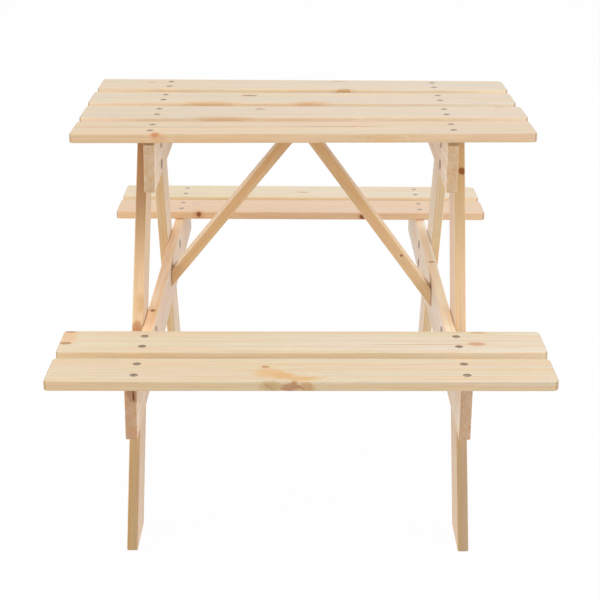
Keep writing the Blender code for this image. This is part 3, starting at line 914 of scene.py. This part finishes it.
for word, side in SIDES:
    for level, sizes in (("top", TOP_RAIL), ("seat", SEAT_RAIL)):
        node = "%s_%s_rail" % (word, level)
        place = axes((side * FRAME_X, 0, sizes["middle"]), (0, 1, 0), (0, 0, 1))
        outline = rectangle(sizes["length"], sizes["depth"])
        bm = bevelled_prism(outline, TIMBER, TIMBER_EDGE, segments=4)
        cutter = None
        if level == "seat":
            brace = BRACES[word]
            upright = BRACE_THICKNESS * math.sqrt(1 + BRACE_SLOPE ** 2)
            height = brace["foot"] + upright * FOOT_SCREW
            head = Vector((side * (FRAME_X + TIMBER / 2), brace["y"], height))
            head += rack(head)
            cutter = countersinks([head], (-side, 0, 0))
            foot_place = driven((-side, 0, 0), head - Vector((side * SCREW_SINK, 0, 0)), 0.5)
            put_screw(short_master, "steel_%s_brace_foot_screw" % word, foot_place)
        add_plank(node, bm, place, RAIL_LOOKS[node], cutter)

LEG_LOOKS = {
    "left_front_leg": dict(
        seed=21, pith=(-20, 22),
        spots=[
            spot((-0.2130, -0.2325, 0.2530), (8.5, 6, 6), tone=(212, 146, 98), halo=(234, 178, 122),
                 strength=0.8, glow=0.55, reach=1.7, push=4, soft=0.6, wild=1, heart=0.3),
            spot((-0.2080, -0.2175, 0.2820), (8, 6, 4), halo=AMBER, glow=0.5, wild=1.6),
        ]),
    "left_rear_leg": dict(seed=22, pith=(24, 26)),
    "right_front_leg": dict(
        seed=23, pith=(18, -24),
        spots=[
            spot((0.2133, -0.1365, 0.4422), (4.6, 5, 4.3), tone=(158, 98, 46), halo=(200, 150, 92),
                 strength=1, glow=0.5, reach=1.9, soft=0.2),
        ]),
    "right_rear_leg": dict(seed=24, pith=(-22, -28)),
}
for word, side in SIDES:
    for end_word, end in ENDS:
        node = "%s_%s_leg" % (word, end_word)
        foot = Vector((side * LEG_X, end * LEG_FOOT_Y, 0))
        head = Vector((side * LEG_X, end * LEG_TOP_Y, LEG_TOP))
        along = (head - foot).normalized()
        place = axes((foot + head) / 2, along, Vector((1, 0, 0)).cross(along))
        span = Vector((0, LEG_WIDTH / 2 * math.sqrt(1 + LEG_SLOPE ** 2), 0))
        inverse = place.inverted()
        corners = (foot - span, foot + span, head + span, head - span)
        outline = [(inverse @ corner).to_2d() for corner in corners]
        bm = bevelled_prism(outline, TIMBER, TIMBER_EDGE, segments=4)
        looks = dict(pink=0.3, straw=0.35, peach=0.4, spacing=2.4, contrast=0.6, **LEG_LOOKS[node])
        add_plank(node, bm, place, looks)

place = axes((0, 0, BATTEN["bottom"] + TIMBER / 2), (0, 1, 0), (-1, 0, 0))
batten_heads = []
for row, middle in enumerate(TABLE_ROWS):
    aside = BATTEN_SCREW_X * (-1) ** row
    inside = max(-BATTEN_SCREW_Y, min(BATTEN_SCREW_Y, middle))
    batten_heads.append(Vector((aside, inside, BATTEN["bottom"])))
upper, low = BATTEN["length"] / 2, BATTEN["length"] / 2 - BATTEN["chamfer"]
outline = [(-low, -TIMBER / 2), (low, -TIMBER / 2), (upper, TIMBER / 2), (-upper, TIMBER / 2)]
bm = bevelled_prism(outline, BATTEN["width"], TIMBER_EDGE, segments=4, along_z=False)
looks = dict(seed=31, pith=(6, -38), spacing=3.4)
add_plank("centre_batten", bm, place, looks, countersinks(batten_heads, (0, 0, 1)))
for number, head in enumerate(batten_heads, 1):
    place = driven((0, 0, 1), head + Vector((0, 0, SCREW_SINK)), number * 0.8)
    put_screw(short_master, "steel_batten_screw_%d" % number, place)

BRACE_LOOKS = {
    "left": dict(seed=41, pith=(30, 6)),
    "right": dict(
        seed=42, pith=(-30, -4),
        spots=[
            spot((0.143, -0.035, 0.2933), (1.5, 3, 1.5), tone=(120, 80, 52), halo=AMBER, strength=1,
                 soft=0.2),
        ]),
}
for word, brace in BRACES.items():
    side = brace["side"]
    foot = Vector((side * (RAIL_INNER_X - FIT), brace["y"], brace["foot"]))
    head = Vector((-side * brace["past"], brace["y"], BATTEN["bottom"] - FIT))
    slope = (head.z - foot.z) / abs(head.x - foot.x)
    upright = BRACE_THICKNESS * math.sqrt(1 + slope ** 2)
    mitre = Vector((side * upright / slope, 0, 0))
    corners = [foot, head, head + mitre, foot + Vector((0, 0, upright))]
    along = (head - foot).normalized()
    place = axes(sum(corners, Vector()) / 4, along, (0, 1, 0) if side < 0 else (0, -1, 0))
    inverse = place.inverted()
    outline = [((inverse @ corner).x, (inverse @ corner).z) for corner in corners]
    bm = bevelled_prism(outline, BRACE_WIDTH, BRACE_EDGE, segments=3, along_z=False)
    inward = Vector((side * along.z, 0, abs(along.x)))
    entry = head - along * HEAD_SCREW
    head_place = driven(inward, entry + inward * SCREW_SINK)
    put_screw(short_master, "steel_%s_brace_head_screw" % word, head_place)
    node = word + "_brace"
    looks = dict(pink=0.3, straw=0.3, peach=0.4, spacing=2.6, contrast=0.5, **BRACE_LOOKS[word])
    add_plank(node, bm, place, looks, countersinks([entry], inward))

for master in (board_master, short_master, joint_master):
    bpy.data.objects.remove(master)


# Camera, lights and floor

# The camera that was fitted to the photograph: its focal length and the picture's width in pixels.
FOCAL_PIXELS, PICTURE_PIXELS, SENSOR = 1492, 600, 36.0
# How much of the floor's brightness is its own glow, and how far the floor reaches in metres.
FLOOR_GLOW, FLOOR_REACH = 0.975, 30
# The light from all around. The camera sees plain white in its place.
SKY_COLOUR, SKY_STRENGTH = (0.97, 0.985, 1.0), 0.74

camera = add_object("camera", bpy.data.cameras.new("camera"))
camera.location = (-0.0016, -2.0628, 0.9145)
yaw, pitch, roll = math.radians(0.025), math.radians(18.75), math.radians(0.22)
camera.rotation_euler = (Matrix.Rotation(-yaw, 3, "Z") @ Matrix.Rotation(math.pi / 2 - pitch, 3, "X")
                         @ Matrix.Rotation(roll, 3, "Z")).to_euler()
camera.data.sensor_fit = "HORIZONTAL"
camera.data.sensor_width = SENSOR
camera.data.lens = SENSOR * FOCAL_PIXELS / PICTURE_PIXELS
camera.data.clip_end = 100
bpy.context.scene.camera = camera
bpy.context.scene.view_settings.view_transform = "Standard"


def lamp(name, place, target, size, power):
    """A rectangular lamp that faces a target. power is in watts."""
    light = bpy.data.lights.new(name, "AREA")
    light.shape, light.size, light.size_y, light.energy = "RECTANGLE", size[0], size[1], power
    obj = add_object(name, light)
    obj.location = place
    obj.rotation_euler = (Vector(target) - Vector(place)).to_track_quat("-Z", "Y").to_euler()


lamp("top_softbox", (0.1, 0.2, 3.0), (0, 0.05, 0.3), (2.2, 1.8), 18)
lamp("left_softbox", (-2.6, -0.9, 0.75), (0, 0.05, 0.30), (1.5, 1.3), 20.5)
lamp("right_softbox", (2.6, -0.9, 0.75), (0, 0.05, 0.30), (1.5, 1.3), 20.5)
lamp("front_softbox", (0, -3.0, 1.1), (0, 0, 0.30), (2.2, 1.2), 5)

g = Graph(bpy.data.materials.new("pale_floor"))
paint = {"Base Color": (0.86, 0.86, 0.86), "Roughness": 0.9, "Specular IOR Level": 0.0}
lit, glow = g.fill(g.shader, paint), g.add("ShaderNodeEmission").outputs[0]
g.blend(g.times(g.seen(), FLOOR_GLOW), lit, glow, g.tree.nodes["Material Output"])
bm = bmesh.new()
bmesh.ops.create_grid(bm, x_segments=2, y_segments=2, size=FLOOR_REACH)
floor = link("floor", bm, g.owner)

g = Graph(bpy.data.worlds.new("studio"))
bpy.context.scene.world = g.owner
g.tree.nodes.clear()
sky = g.add("ShaderNodeBackground", SKY_COLOUR, SKY_STRENGTH).outputs[0]
white = g.add("ShaderNodeBackground", WHITE).outputs[0]
g.blend(g.seen(), sky, white, g.add("ShaderNodeOutputWorld"))
